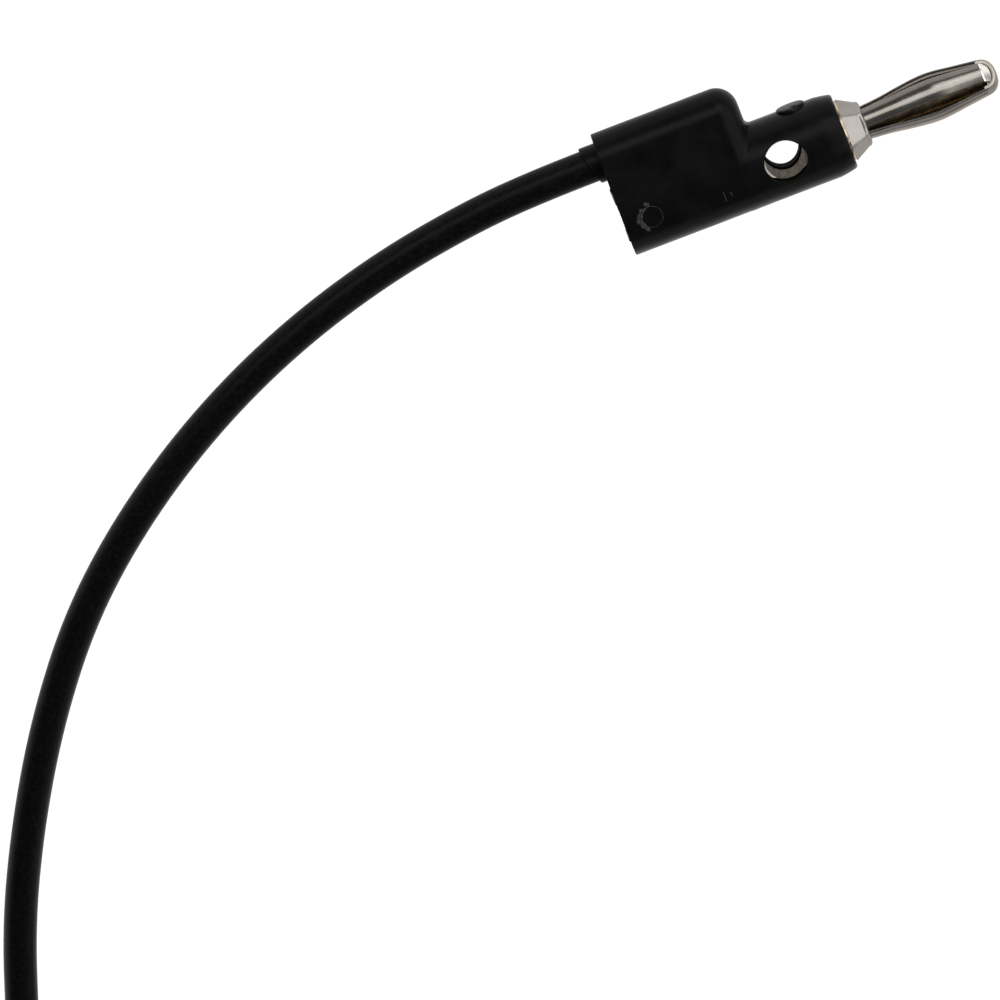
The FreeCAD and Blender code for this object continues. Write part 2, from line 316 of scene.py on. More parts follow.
def lead_jacket():
    material, tree, shader = new_material("lead_jacket_black", (0.003, 0.003, 0.003), 0.3,
                                          specular=PLASTIC_SHINE)
    cloud = place_noise(tree, 0.12, 3)
    grain = place_noise(tree, 7.0, 2)
    dust = place_noise(tree, 2.2, 6)
    color_between(tree, dust, shader.inputs["Base Color"], (0.002, 0.002, 0.0022), (0.006, 0.006, 0.0063),
                  0.45, 0.8)
    spread_to(tree, dust, shader.inputs["Roughness"], 0.30, 0.42)
    bump(tree, shader, [(cloud, 0.05), (grain, 0.002)])
    return material


def nickel(name, base, smooth, rough, grain_turn, edge=EDGE_TINT):
    """Nickel plate with fine drawing lines along the pin."""
    material, tree, shader = new_material(name, base, smooth, 1.0)
    shader.inputs["Specular Tint"].default_value = (*edge, 1)
    lines = place_noise(tree, 3.0, 4, stretch=(0.06, 3.0, 3.0), turn=grain_turn)
    patches = place_noise(tree, 0.5, 4)
    pits = place_noise(tree, 2.5, 2)
    dark = [c * shade for c, shade in zip(base, (0.86, 0.83, 0.79))]
    color_between(tree, patches, shader.inputs["Base Color"], dark, base, 0.35, 0.6)
    spread_to(tree, patches, shader.inputs["Roughness"], smooth, rough)
    bump(tree, shader, [(lines, 0.004), (patches, 0.010), (pits, 0.001)])
    return material


def bore_metal_painted_shade():
    """The reamed wall of the jack bores, its dark colour painted shade inside the hole."""
    # The low base and its darker ring tones are painted shade in the hole; the ring pattern is the reaming.
    material, tree, shader = new_material("bore_metal_painted_shade", (0.24, 0.215, 0.20), 0.42, 1.0)
    shader.inputs["Specular Tint"].default_value = (0.38, 0.35, 0.32, 1)
    rings = place_noise(tree, 2.0, 3, stretch=(2.5, 0.4, 0.4))
    color_between(tree, rings, shader.inputs["Base Color"], (0.16, 0.14, 0.125), (0.32, 0.29, 0.27))
    bump(tree, shader, [(rings, 0.02)])
    return material


def dark_brass_painted_shade():
    # The post's very dark base is painted shade in the gaps between the leaves.
    material, tree, shader = new_material("post_brass", (0.13, 0.10, 0.07), 0.55, 1.0)
    shader.inputs["Specular Tint"].default_value = (0.42, 0.34, 0.24, 1)
    patches = place_noise(tree, 1.5, 4)
    color_between(tree, patches, shader.inputs["Base Color"], (0.06, 0.043, 0.027), (0.20, 0.15, 0.10))
    bump(tree, shader, [(patches, 0.02)])
    return material


def copper():
    material, tree, shader = new_material("copper_strand", (0.72, 0.38, 0.22), 0.32, 1.0)
    lines = place_noise(tree, 5.0, 2, stretch=(0.1, 2, 2))
    bump(tree, shader, [(lines, 0.02)])
    return material


def solder():
    material, tree, shader = new_material("solder_grey", (0.55, 0.55, 0.55), 0.35, 1.0)
    patches = place_noise(tree, 1.2, 4)
    spread_to(tree, patches, shader.inputs["Roughness"], 0.25, 0.5)
    bump(tree, shader, [(patches, 0.03)])
    return material


# ================================================================ mesh helpers
def plug_matrix(side):
    """From a plug's own millimetres (x along the pin, y to the housing, z along the cross hole)."""
    mounts = {m["name"]: m for m in frame["record"]["mounts"]}
    pin, cross = mounts[f"{side}_banana_pin"], mounts[f"{side}_cross_jack"]
    along = Vector(pin["axis"]).normalized()
    through = Vector(cross["axis"]).normalized() * (1 if side == "near" else -1)
    across = through.cross(along)
    origin = Vector(pin["pos_m"]) - along * PIN_BASE * MM
    return Matrix((
        (along.x * MM, across.x * MM, through.x * MM, origin.x),
        (along.y * MM, across.y * MM, through.y * MM, origin.y),
        (along.z * MM, across.z * MM, through.z * MM, origin.z),
        (0, 0, 0, 1),
    ))


def mesh_object(name, points, faces, matrix, material, sharp=None):
    mesh = bpy.data.meshes.new(name)
    mesh.from_pydata([matrix @ Vector(p) for p in points], [], faces)
    mesh.materials.append(material)
    made = bpy.data.objects.new(name, mesh)
    bpy.context.scene.collection.objects.link(made)
    finish_mesh(made, sharp)
    return made


def finish_mesh(made, sharp=None):
    """Normals outwards, smooth shading, with edges over sharp degrees kept crisp."""
    work = bmesh.new()
    work.from_mesh(made.data)
    bmesh.ops.recalc_face_normals(work, faces=work.faces)
    work.to_mesh(made.data)
    work.free()
    made.data.shade_smooth()
    if sharp:
        made.data.set_sharp_from_angle(angle=math.radians(sharp))


def apply_modifiers(made):
    graph = bpy.context.evaluated_depsgraph_get()
    mesh = bpy.data.meshes.new_from_object(made.evaluated_get(graph))
    old = made.data
    made.modifiers.clear()
    made.data = mesh
    bpy.data.meshes.remove(old)


def ring_faces(rows, columns, wrap_rows=False, offset=0):
    """Quads of a grid whose columns go round; its rows may close on themselves too."""
    faces = []
    for r in range(rows if wrap_rows else rows - 1):
        below = (r + 1) % rows
        for c in range(columns):
            d = (c + 1) % columns
            faces.append((offset + r * columns + c, offset + r * columns + d,
                          offset + below * columns + d, offset + below * columns + c))
    return faces


BAR_SIDES = 96


def round_bar(profile, axis="x", centre=(0, 0), sides=BAR_SIDES):
    """Points and faces of a solid turned from (place, radius) pairs, for cutting."""
    points = []
    for at, radius in profile:
        for k in range(sides):
            a = 2 * math.pi * k / sides
            p, q = radius * math.cos(a) + centre[0], radius * math.sin(a) + centre[1]
            points.append((at, p, q) if axis == "x" else (p, q, at))
    last = (len(profile) - 1) * sides
    faces = ring_faces(len(profile), sides)
    faces.append(tuple(reversed(range(sides))))
    faces.append(tuple(range(last, last + sides)))
    return points, faces


def cut(made, cutters):
    """Cut closed tools out of a closed mesh and apply it."""
    for k, tool in enumerate(cutters):
        step = made.modifiers.new(f"cut_{k}", "BOOLEAN")
        step.operation = "DIFFERENCE"
        step.solver = "EXACT"
        step.material_mode = "TRANSFER"
        step.object = tool
    apply_modifiers(made)
    for tool in cutters:
        bpy.data.objects.remove(tool)


# ================================================================ moulding
COLUMNS = 300
SEAT_START = 23.5          # where the core widens to its seat in the moulding


def hull_reach(angle, inset):
    """Distance from the pin axis to the housing's outline, all moved in by inset."""
    big, small = BODY_R - inset, HUMP_R - inset
    lean = math.acos((BODY_R - HUMP_R) / WIRE_OFFSET)
    a = abs(angle)
    top = math.atan2(small * math.sin(lean), WIRE_OFFSET + small * math.cos(lean))
    if a <= top:
        return WIRE_OFFSET * math.cos(a) + math.sqrt(max(small ** 2 - (WIRE_OFFSET * math.sin(a)) ** 2, 0))
    if a <= lean:
        return big / math.cos(a - lean)
    return big


def soft_max(a, b, width):
    """The larger of two lengths, with the corner between them filled."""
    gap = max(width - abs(a - b), 0.0) / width
    return max(a, b) + gap * gap * width / 4


def column_angle(c):
    """Round from the housing's crown, and denser on the housing than under the barrel."""
    share = 2 * math.pi * c / COLUMNS
    return share - 0.45 * math.sin(share)


def signed(angle):
    return (angle + math.pi) % (2 * math.pi) - math.pi


FOOT_ROUND = 0.55
RIM_ROUND = 0.22           # CAD 0.25
REAR_ROUND = 0.12
VALLEY_FILL = 0.12         # width of the filling where the housing meets the barrel
CORE_CLEARANCE = 0.02


def housing_reach(angle):
    return max(BODY_R, hull_reach(angle, 0.0))


def filled_reach(angle, inset):
    return soft_max(BODY_R, hull_reach(angle, inset), VALLEY_FILL)


def foot_size(angle):
    """The fillet at the foot of the housing's front face, no larger than the face is high."""
    return min(FOOT_ROUND, max(filled_reach(angle, HUMP_FRONT_ROUND) - BODY_R, 0.0))


def front_face(angle, share):
    """From the top of the housing's front face (0) down to its fillet (1)."""
    high = filled_reach(angle, HUMP_FRONT_ROUND)
    return high - (high - BODY_R - foot_size(angle)) * share


def rear_rows():
    """The rear face from the mouth outwards, and its small rounded edge."""
    rows = [(BODY_START, lambda a: MOUTH_R)]
    for share in (0.3, 0.6, 0.85):
        rows.append((BODY_START,
                     lambda a, s=share: MOUTH_R + (housing_reach(a) - REAR_ROUND - MOUTH_R) * s))
    for step in range(5):
        t = math.pi / 2 * step / 4
        drop = REAR_ROUND * (1 - math.sin(t))
        rows.append((BODY_START + REAR_ROUND * (1 - math.cos(t)), lambda a, d=drop: housing_reach(a) - d))
    return rows


def housing_rows():
    """Along the wire housing, round its front edge, down its front face and through the fillet."""
    rows = []
    first, straight = BODY_START + REAR_ROUND, HUMP_LENGTH - HUMP_FRONT_ROUND
    for k in range(1, 60):
        rows.append((first + (straight - first) * k / 60, housing_reach))
    for k in range(17):
        t = math.pi / 2 * k / 16
        inset = HUMP_FRONT_ROUND * (1 - math.cos(t))
        rows.append((straight + HUMP_FRONT_ROUND * math.sin(t), lambda a, i=inset: filled_reach(a, i)))
    for k in range(1, 9):
        rows.append((HUMP_LENGTH, lambda a, s=k / 8: front_face(a, s)))
    for k in range(1, 9):
        t = math.pi / 2 * k / 8
        rows.append((HUMP_LENGTH + FOOT_ROUND * (1 - math.cos(t)),
                     lambda a, t=t: BODY_R + foot_size(a) * (1 - math.sin(t))))
    return rows


def barrel_rows():
    """Along the barrel, down the taper at its front and round the rim."""
    rows = []
    first, taper = HUMP_LENGTH + FOOT_ROUND, BODY_LENGTH - TAPER_START
    for k in range(1, 31):
        rows.append((first + (TAPER_START - first) * k / 30, lambda a: BODY_R))
    for k in range(1, 9):
        share = k / 8 * (1 - RIM_ROUND / taper)
        rows.append((TAPER_START + taper * share,
                     lambda a, s=share: BODY_R + (FRONT_R - BODY_R) * s * (0.6 + 0.4 * s)))
    for k in range(1, 6):
        t = math.pi / 2 * k / 5
        rows.append((BODY_LENGTH - RIM_ROUND * (1 - math.sin(t)),
                     lambda a, t=t: FRONT_R - RIM_ROUND * (1 - math.cos(t))))
    return rows


def inside_rows():
    """Back through the hole that the core sits in, to the rear mouth."""
    seat, barrel = CORE_R + CORE_CLEARANCE, BARREL_R + CORE_CLEARANCE
    steps = [(BODY_LENGTH, (FRONT_R + CORE_R) / 2), (BODY_LENGTH, seat), (SEAT_START, seat),
             (SEAT_START, barrel), (CORE_START, barrel), (CORE_START, MOUTH_R)]
    return [(x, lambda a, r=radius: r) for x, radius in steps]


# angle, size and width of the flash nibs on the rear rim
NIBS = [(-1.18, 0.16, 0.05), (-0.38, 0.10, 0.035), (2.02, 0.13, 0.035), (0.755, 0.12, 0.025)]
FLASH_REACH = 0.5
DENT_DEPTH = 0.018


def flash(angle, x, seed):
    """How far the rear and front rims are pushed along the plug by small ragged flash."""
    wander = noise.noise(Vector((math.cos(angle) * 3.1, math.sin(angle) * 3.1, seed)))
    fine = noise.noise(Vector((math.cos(angle) * 11.0, math.sin(angle) * 11.0, seed + 7)))
    near_rear = ease(x, BODY_START + FLASH_REACH, BODY_START)
    near_front = ease(x, BODY_LENGTH - FLASH_REACH, BODY_LENGTH)
    nib = sum(size * math.exp(-((signed(angle - at)) / width) ** 2) for at, size, width in NIBS)
    rear_part = near_rear * (0.03 * wander + 0.03 * fine - nib)
    return rear_part + near_front * (0.07 * wander + 0.05 * fine)


def moulding_grid(seed):
    points = []
    rows = rear_rows() + housing_rows() + barrel_rows() + inside_rows()
    for x, reach in rows:
        for c in range(COLUMNS):
            a = column_angle(c)
            radius = reach(signed(a))
            moved = x + flash(a, x, seed)
            if radius > CORE_R + 0.1:
                place = Vector((x * 0.45, math.cos(a) * 1.6, math.sin(a) * 1.6 + seed))
                radius += DENT_DEPTH * noise.noise(place)
            points.append((moved, radius * math.cos(a), radius * math.sin(a)))
    return points, ring_faces(len(rows), COLUMNS, wrap_rows=True)


PAD_CROWN_R = 14.0         # the pad is crowned across the plug by this radius
GATE_AT = (0.45, 1.3)      # from the pad's centre


def gate_pad(seed):
    """The round pad where the plastic was let in, nearly flat, with its torn-off gate at one side."""
    profile = [(radius, 0.0) for radius in (0.0, 0.3, 0.6, 0.9, 1.1, PAD_R - 0.28)]
    profile += [(PAD_R - 0.12, -0.02), (PAD_R - 0.03, -0.09), (PAD_R, -0.2), (PAD_R, -0.9), (0.0, -0.9)]
    sides = 72
    points = []
    for radius, level in profile:
        for k in range(sides):
            a = 2 * math.pi * k / sides
            r = max(radius, 0.002)
            x, z = r * math.cos(a), r * math.sin(a)
            crown = PAD_CROWN_R - math.sqrt(PAD_CROWN_R ** 2 - z * z)
            gate = math.exp(-((x - GATE_AT[0]) ** 2 + (z - GATE_AT[1]) ** 2) / 0.14)
            torn = gate * (0.3 * noise.noise(Vector((x * 5.2, z * 5.2, seed))) - 0.24)
            points.append((PAD_X + x, BODY_R + PAD_PROUD + level - crown + torn, z))
    return points, ring_faces(len(profile), sides)


EJECTOR_X = 2.8
EJECTOR_ANGLE = math.radians(-3)
EJECTOR_R = 1.15
FLAKES = 11


def ejector_mark(seed):
    """The raised witness line of a round ejector pin, thicker and torn on its rear side."""
    around, sides = 96, 8
    points = []
    for k in range(around):
        a = 2 * math.pi * k / around
        torn = max(0.0, -math.cos(a + 0.3)) ** 2
        wobble = noise.noise(Vector((math.cos(a) * 4, math.sin(a) * 4, seed + 3)))
        rough = noise.noise(Vector((math.cos(a) * 14, math.sin(a) * 14, seed + 5)))
        size = 0.024 + torn * (0.09 + 0.26 * max(rough, 0.0))
        reach = EJECTOR_R + 0.06 * wobble + 0.1 * torn * rough
        for s in range(sides):
            b = 2 * math.pi * s / sides
            flat = reach + size * math.cos(b)
            radius = BODY_R + 0.01 + size * math.sin(b) * 0.8
            turn = EJECTOR_ANGLE + flat * math.sin(a) / BODY_R
            points.append((EJECTOR_X + flat * math.cos(a), radius * math.sin(turn),
                           radius * math.cos(turn)))
    return points, ring_faces(around, sides, wrap_rows=True)


def ejector_flakes(seed):
    """Small torn flakes lifted off the skin behind the ejector mark."""
    points, faces = [], []
    for k in range(FLAKES):
        chance = [noise.noise(Vector((k * 1.7, seed, j * 2.3))) for j in range(4)]
        around = math.pi + 1.3 * (k / (FLAKES - 1) * 2 - 1.25) + 0.3 * chance[0]
        reach = EJECTOR_R + 0.18 + 0.35 * chance[1]
        size = 0.12 + 0.16 * k / (FLAKES - 1) + 0.2 * abs(chance[2])
        base = len(points)
        for corner in range(5):
            a = around + 2 * math.pi * corner / 5
            ragged = size * (0.7 + 0.9 * abs(noise.noise(Vector((corner * 3.1, k * 2.2, seed)))))
            x = EJECTOR_X + reach * math.cos(around) + ragged * math.cos(a)
            off = reach * math.sin(around) + ragged * 1.3 * math.sin(a)
            turn = EJECTOR_ANGLE + off / BODY_R
            for lift in (-0.05, 0.03 + 0.05 * abs(chance[3])):
                radius = BODY_R + lift
                points.append((x, radius * math.sin(turn), radius * math.cos(turn)))
        tip_turn = EJECTOR_ANGLE + reach * math.sin(around) / BODY_R
        tip = BODY_R + 0.12
        points.append((EJECTOR_X + reach * math.cos(around), tip * math.sin(tip_turn),
                       tip * math.cos(tip_turn)))
        for corner in range(5):
            a, b = base + 2 * corner, base + 2 * ((corner + 1) % 5)
            faces += [(a, b, b + 1, a + 1), (a + 1, b + 1, base + 10)]
        faces.append(tuple(base + 2 * corner for corner in range(5)))
    return points, faces


CAVITY_BARS = ((10.7, 1.1), (11.45, 0.6))    # x, length
CAVITY_ANGLE = math.radians(-13)
CAVITY_HALF_WIDTH = 0.06
BOX_FACES = ((0, 1, 2, 3), (4, 5, 6, 7), (0, 1, 5, 4), (1, 2, 6, 5), (2, 3, 7, 6), (3, 0, 4, 7))


def cavity_marks():
    """Two plain raised bars, the mould's own cavity mark, narrower at their tops."""
    points, faces = [], []
    for x, length in CAVITY_BARS:
        base = len(points)
        for up, narrow in ((-0.05, 1.0), (0.07, 0.7)):
            radius = BODY_R + up
            for way_x, way_z in ((-1, -0.5), (1, -0.5), (1, 0.5), (-1, 0.5)):
                turn = CAVITY_ANGLE + way_z * length / BODY_R
                points.append((x + way_x * CAVITY_HALF_WIDTH * narrow, radius * math.sin(turn),
                               radius * math.cos(turn)))
        faces += [tuple(base + i for i in face) for face in BOX_FACES]
    return points, faces


def join_parts(parts):
    points, faces = [], []
    for more_points, more_faces in parts:
        base = len(points)
        points += more_points
        faces += [tuple(base + i for i in f) for f in more_faces]
    return points, faces


def make_moulding(side, matrix, material, torn, dull, seed):
    points, faces = moulding_grid(seed)
    made = mesh_object(f"{side}_moulding", points, faces, matrix, material)
    steps = [(-12, LOWER_MOUTH_R), (0, LOWER_MOUTH_R), (0.01, MOUTH_R), (12, MOUTH_R)]
    tool_points, tool_faces = round_bar(steps, axis="z", centre=(CROSS_X, 0))
    cut(made, [mesh_object("tool", tool_points, tool_faces, matrix, dull)])
    finish_mesh(made, 32)
    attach(made, "lead")
    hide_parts(f"{side}_body_molding")
    points, faces = gate_pad(seed)
    pad = mesh_object(f"{side}_gate_pad", points, faces, matrix, material, 50)
    points, faces = join_parts([ejector_mark(seed), ejector_flakes(seed), cavity_marks()])
    marks = mesh_object(f"{side}_mould_marks", points, faces, matrix, torn, 50)
    for piece in (pad, marks):
        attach(piece, "lead")


# ================================================================ contact core and collar
CORE_COLUMNS = 180
SINK = 0.45                # depth of the cross hole's countersink


def hexagon_reach(angle, corner_radius):
    """A hexagon with a flat HEX_TURN from z, its corners a little rounded."""
    flat = corner_radius * math.cos(math.radians(30))
    fold = ((angle - HEX_TURN) % math.radians(60)) - math.radians(30)
    return min(flat / math.cos(math.radians(30) - abs(fold)), corner_radius * 0.96)


def core_grid(seed):
    """The turned core from its rear face to the pin's root, with the hex crimp at its front."""
    stations = [(CORE_START, 0.0, BARREL_R - 0.7), (CORE_START, 0.0, BARREL_R - 0.1),
                (CORE_START + 0.1, 0.0, BARREL_R), (8.0, 0.0, BARREL_R), (16.0, 0.0, BARREL_R),
                (SEAT_START, 0.0, BARREL_R), (SEAT_START, 0.0, CORE_R), (BODY_LENGTH, 0.0, CORE_R),
                (CORE_SHOULDER - 0.04, 0.0, CORE_R)]
    for k in range(13):
        share = k / 12
        x = CORE_SHOULDER - 0.02 + (HEX_END - CORE_SHOULDER) * share
        stations.append((x, 1.0, HEX_R + (HEX_END_R - HEX_R) * share))
    for k in range(1, 7):
        t = math.pi / 2 * k / 6
        x = HEX_END + (PIN_BASE - HEX_END) * math.sin(t)
        stations.append((x, 1.0 - k / 6, NECK_R + (HEX_END_R - NECK_R) * math.cos(t)))
    stations.append((PIN_BASE, 0.0, 1.2))
    points = []
    for x, hexed, size in stations:
        for c in range(CORE_COLUMNS):
            a = 2 * math.pi * c / CORE_COLUMNS
            radius = size + (hexagon_reach(a, size) - size) * hexed
            if hexed > 0:
                radius += 0.02 * noise.noise(Vector((x * 1.5, math.cos(a) * 3, math.sin(a) * 3 + seed)))
            points.append((x, radius * math.sin(a), radius * math.cos(a)))
    faces = ring_faces(len(stations), CORE_COLUMNS)
    last = (len(stations) - 1) * CORE_COLUMNS
    faces.append(tuple(range(CORE_COLUMNS)))
    faces.append(tuple(range(last, last + CORE_COLUMNS)))
    return points, faces


def make_core(side, matrix, material, bore, seed):
    points, faces = core_grid(seed)
    made = mesh_object(f"{side}_core", points, faces, matrix, material)
    tools = []
    jack = [(0.0, JACK_R), (JACK_END, JACK_R)]
    sink_r = JACK_R + SINK * 1.6
    cross = [(-6.0, JACK_R), (BARREL_R - SINK, JACK_R), (BARREL_R, sink_r), (6.0, sink_r)]
    for profile, axis, centre in ((jack, "x", (0, 0)), (cross, "z", (CROSS_X, 0))):
        tool_points, tool_faces = round_bar(profile, axis, centre)
        tools.append(mesh_object("tool", tool_points, tool_faces, matrix, bore))
    tools[1].data.materials.append(material)
    for face in tools[1].data.polygons[BAR_SIDES:2 * BAR_SIDES]:
        face.material_index = 1        # the countersink is plated, unlike the bore
    cut(made, tools)
    finish_mesh(made, 24)
    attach(made, "lead")
    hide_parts(f"{side}_contact_core")


def make_collar_rim(side, matrix, material, seed):
    """The thin turned lip between the moulding and the crimp, uneven where the plastic laps it."""
    start, end = BODY_LENGTH - 0.1, CORE_SHOULDER + 0.02
    profile = [(start, CORE_R - 0.2), (start, CORE_R + 0.17), (start + 0.12, CORE_R + 0.17),
               (end - 0.06, CORE_R + 0.10), (end, CORE_R), (end, CORE_R - 0.2)]
    points = []
    for x, radius in profile:
        for c in range(CORE_COLUMNS):
            a = 2 * math.pi * c / CORE_COLUMNS
            worn = 0.16 * noise.noise(Vector((x * 2, math.cos(a) * 4, math.sin(a) * 4 + seed))) - 0.03
            points.append((x, (radius + worn) * math.sin(a), (radius + worn) * math.cos(a)))
    made = mesh_object(f"{side}_collar_rim", points, ring_faces(len(profile), CORE_COLUMNS, wrap_rows=True),
                       matrix, material, 30)
    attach(made, "lead")


# ================================================================ sprung leaves
def outline_radius(x):
    """Outer radius of the leaf cage, smooth through its outline points."""
    points = SPRING_OUTLINE
    if x <= points[0][0]:
        return points[0][1]
    for k in range(len(points) - 1):
        (x0, r0), (x1, r1) = points[k], points[k + 1]
        if x <= x1:
            before = points[max(k - 1, 0)]
            after = points[min(k + 2, len(points) - 1)]
            slope0 = (r1 - before[1]) / (x1 - before[0])
            slope1 = (after[1] - r0) / (after[0] - x0)
            span = x1 - x0
            t = (x - x0) / span
            return (r0 * (2 * t ** 3 - 3 * t ** 2 + 1) + slope0 * span * (t ** 3 - 2 * t ** 2 + t)
                    + r1 * (3 * t ** 2 - 2 * t ** 3) + slope1 * span * (t ** 3 - t ** 2))
    return points[-1][1]


def strip_loop(outer, half_angle, thickness, round_by, across=16):
    """One cross-section of a cambered strip as (radius, angle) pairs, its four edges rounded."""
    inner = outer - thickness
    edge = round_by / outer
    loop = []
    for k in range(across + 1):
        loop.append((outer, -half_angle + edge + 2 * (half_angle - edge) * k / across))
    loop.append((outer - round_by * 0.3, half_angle - edge * 0.3))
    loop.append((outer - round_by, half_angle))
    loop.append((inner + round_by, half_angle))
    loop.append((inner + round_by * 0.3, half_angle - edge * 0.3))
    for k in range(across + 1):
        loop.append((inner, half_angle - edge - 2 * (half_angle - edge) * k / across))
    loop.append((inner + round_by * 0.3, -half_angle + edge * 0.3))
    loop.append((inner + round_by, -half_angle))
    loop.append((outer - round_by, -half_angle))
    loop.append((outer - round_by * 0.3, -half_angle + edge * 0.3))
    return loop


LEAF_STATIONS = 90
EDGE_ROUND = 0.06


def leaf_grid(angle):
    points = []
    columns = 0
    for k in range(LEAF_STATIONS + 1):
        x = LEAF_START + (LEAF_END - LEAF_START) * k / LEAF_STATIONS
        outer = outline_radius(x)
        bulge = math.exp(-((x - BELLY_X) / 4.0) ** 2)
        width = STRIP_WIDTH + (BELLY_WIDTH - STRIP_WIDTH) * bulge
        half = min(math.asin(width / 2 / outer), LEAF_WEDGE)
        loop = strip_loop(outer, half, STRIP_THICKNESS, EDGE_ROUND)
        columns = len(loop)
        for radius, turn in loop:
            points.append((x, radius * math.sin(angle + turn), radius * math.cos(angle + turn)))
    faces = ring_faces(LEAF_STATIONS + 1, columns)
    last = LEAF_STATIONS * columns
    faces.append(tuple(range(columns)))
    faces.append(tuple(range(last, last + columns)))
    return points, faces


def make_leaves(side, matrix, material):
    for k in range(LEAF_COUNT):
        angle = FIRST_LEAF + k * 2 * math.pi / LEAF_COUNT
        points, faces = leaf_grid(angle)
        made = mesh_object(f"{side}_leaf_{k + 1}", points, faces, matrix, material, 50)
        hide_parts(f"{side}_leaf_{k + 1}_rear", f"{side}_leaf_{k + 1}_front")
        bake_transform(made)


def make_post(side, matrix, material):
    """The post that shows between the leaves, barrelled where they bow out; its dark colour is painted
    shade in the gaps.
    """
    profile = [(26.0, 0.0)]
    for k in range(25):
        x = 26.0 + 14.4 * k / 24
        profile.append((x, POST_R + POST_SWELL * math.exp(-((x - BELLY_X) / 4.5) ** 2)))
    profile += [(40.7, POST_R * 0.7), (40.7, 0.0)]
    sides = 48
    points = []
    for x, radius in profile:
        for k in range(sides):
            a = 2 * math.pi * k / sides
            r = max(radius, 0.002)
            points.append((x, r * math.sin(a), r * math.cos(a)))
    made = mesh_object(f"{side}_post", points, ring_faces(len(profile), sides), matrix, material, 50)
    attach(made, "lead")
    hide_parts(f"{side}_centre_post")


# ================================================================ nose of the pin
NOSE_X = 40.2
NOSE_R = 1.985
OUTER_REACH = 1.8
INNER_PROFILE = [(1.985, 40.2), (1.985, 40.46), (1.93, 40.60), (1.22, 41.34), (0.9, 41.49), (0.0, 41.55)]


def outer_nose_x(radius, inset):
    """Where the outer strip's dome is at a radius, its surface moved in by inset."""
    share = min(radius / (NOSE_R - inset), 1.0)
    return NOSE_X + (OUTER_REACH - inset) * (1 - share ** 2.4) ** (1 / 2.4)


def inner_nose_x(radius, inset):
    """The inner strip bends over in a flat facet before it goes under the outer strip."""
    wide = radius + inset * 0.75
    for (r0, x0), (r1, x1) in zip(INNER_PROFILE, INNER_PROFILE[1:]):
        if r0 >= wide >= r1 and r0 > r1:
            return x0 + (x1 - x0) * (r0 - wide) / (r0 - r1) - inset * 0.75
    return NOSE_X


def nose_grid(angle, place):
    """A strip folded over the pin's end: the part of a dome within half a strip of a plane."""
    around, across = 72, 10
    half = STRIP_WIDTH / 2
    points = []
    for inset in (0.0, STRIP_THICKNESS):
        for i in range(around + 1):
            swing = -math.pi / 2 + math.pi * i / around
            for j in range(across + 1):
                s = -half + 2 * half * j / across
                reach = math.sqrt((NOSE_R - inset) ** 2 - s * s)
                q = reach * math.sin(swing)
                x = place(math.hypot(q, s), inset)
                points.append((x, q * math.sin(angle) + s * math.cos(angle),
                               q * math.cos(angle) - s * math.sin(angle)))
    columns = across + 1
    layer = (around + 1) * columns
    faces = []
    for i in range(around):
        for j in range(across):
            a, b = i * columns + j, (i + 1) * columns + j
            faces.append((a, a + 1, b + 1, b))
            faces.append((layer + a, layer + b, layer + b + 1, layer + a + 1))
        for j in (0, across):
            a, b = i * columns + j, (i + 1) * columns + j
            faces.append((a, b, layer + b, layer + a))
    for i in (0, around):
        for j in range(across):
            a = i * columns + j
            faces.append((a, a + 1, layer + a + 1, layer + a))
    return points, faces


def make_nose(side, matrix, metals):
    for name, angle, place, metal in (("inner_nose", FIRST_LEAF, inner_nose_x, metals[0]),
                                      ("outer_nose", FIRST_LEAF + math.pi / 2, outer_nose_x, metals[1])):
        points, faces = nose_grid(angle, place)
        made = mesh_object(f"{side}_{name}_strip", points, faces, matrix, metal)
        rounding = made.modifiers.new("rounding", "BEVEL")
        rounding.width = 0.05 * MM
        rounding.segments = 3
        rounding.limit_method = "ANGLE"
        rounding.angle_limit = math.radians(50)
        apply_modifiers(made)
        finish_mesh(made, 40)
        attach(made, "lead")
        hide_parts(f"{side}_{name}")


# ================================================================ cable sleeve
def make_sleeve(side, matrix, material, seed):
    """The thin lip round the lead, cut off at a slant and a little torn."""
    columns = 96
    outer, inner = SLEEVE_R, LEAD_R - 0.02
    rows = [(SLEEVE_DEPTH, inner), (0.5, inner), (0.0, inner), (0.0, outer - 0.1), (0.04, outer - 0.02),
            (0.12, outer), (0.5, outer), (SLEEVE_DEPTH, outer)]
    points = []
    for depth, radius in rows:
        for c in range(columns):
            a = 2 * math.pi * c / columns
            share = (1 + math.cos(a)) / 2
            edge = -(SLEEVE_BOTTOM + (SLEEVE_TOP - SLEEVE_BOTTOM) * share)
            torn = 0.07 * noise.noise(Vector((math.cos(a) * 3.5, math.sin(a) * 3.5, seed + 11)))
            x = SLEEVE_DEPTH if depth == SLEEVE_DEPTH else edge + max(torn, 0) + depth
            points.append((x, WIRE_OFFSET + radius * math.cos(a), radius * math.sin(a)))
    made = mesh_object(f"{side}_sleeve", points, ring_faces(len(rows), columns, wrap_rows=True),
                       matrix, material, 40)
    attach(made, "lead")
    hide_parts(f"{side}_cable_sleeve")


# ================================================================ the two plugs
plastic = moulded_plastic()
torn = torn_plastic()
dull = dull_plastic()
bore = bore_metal_painted_shade()
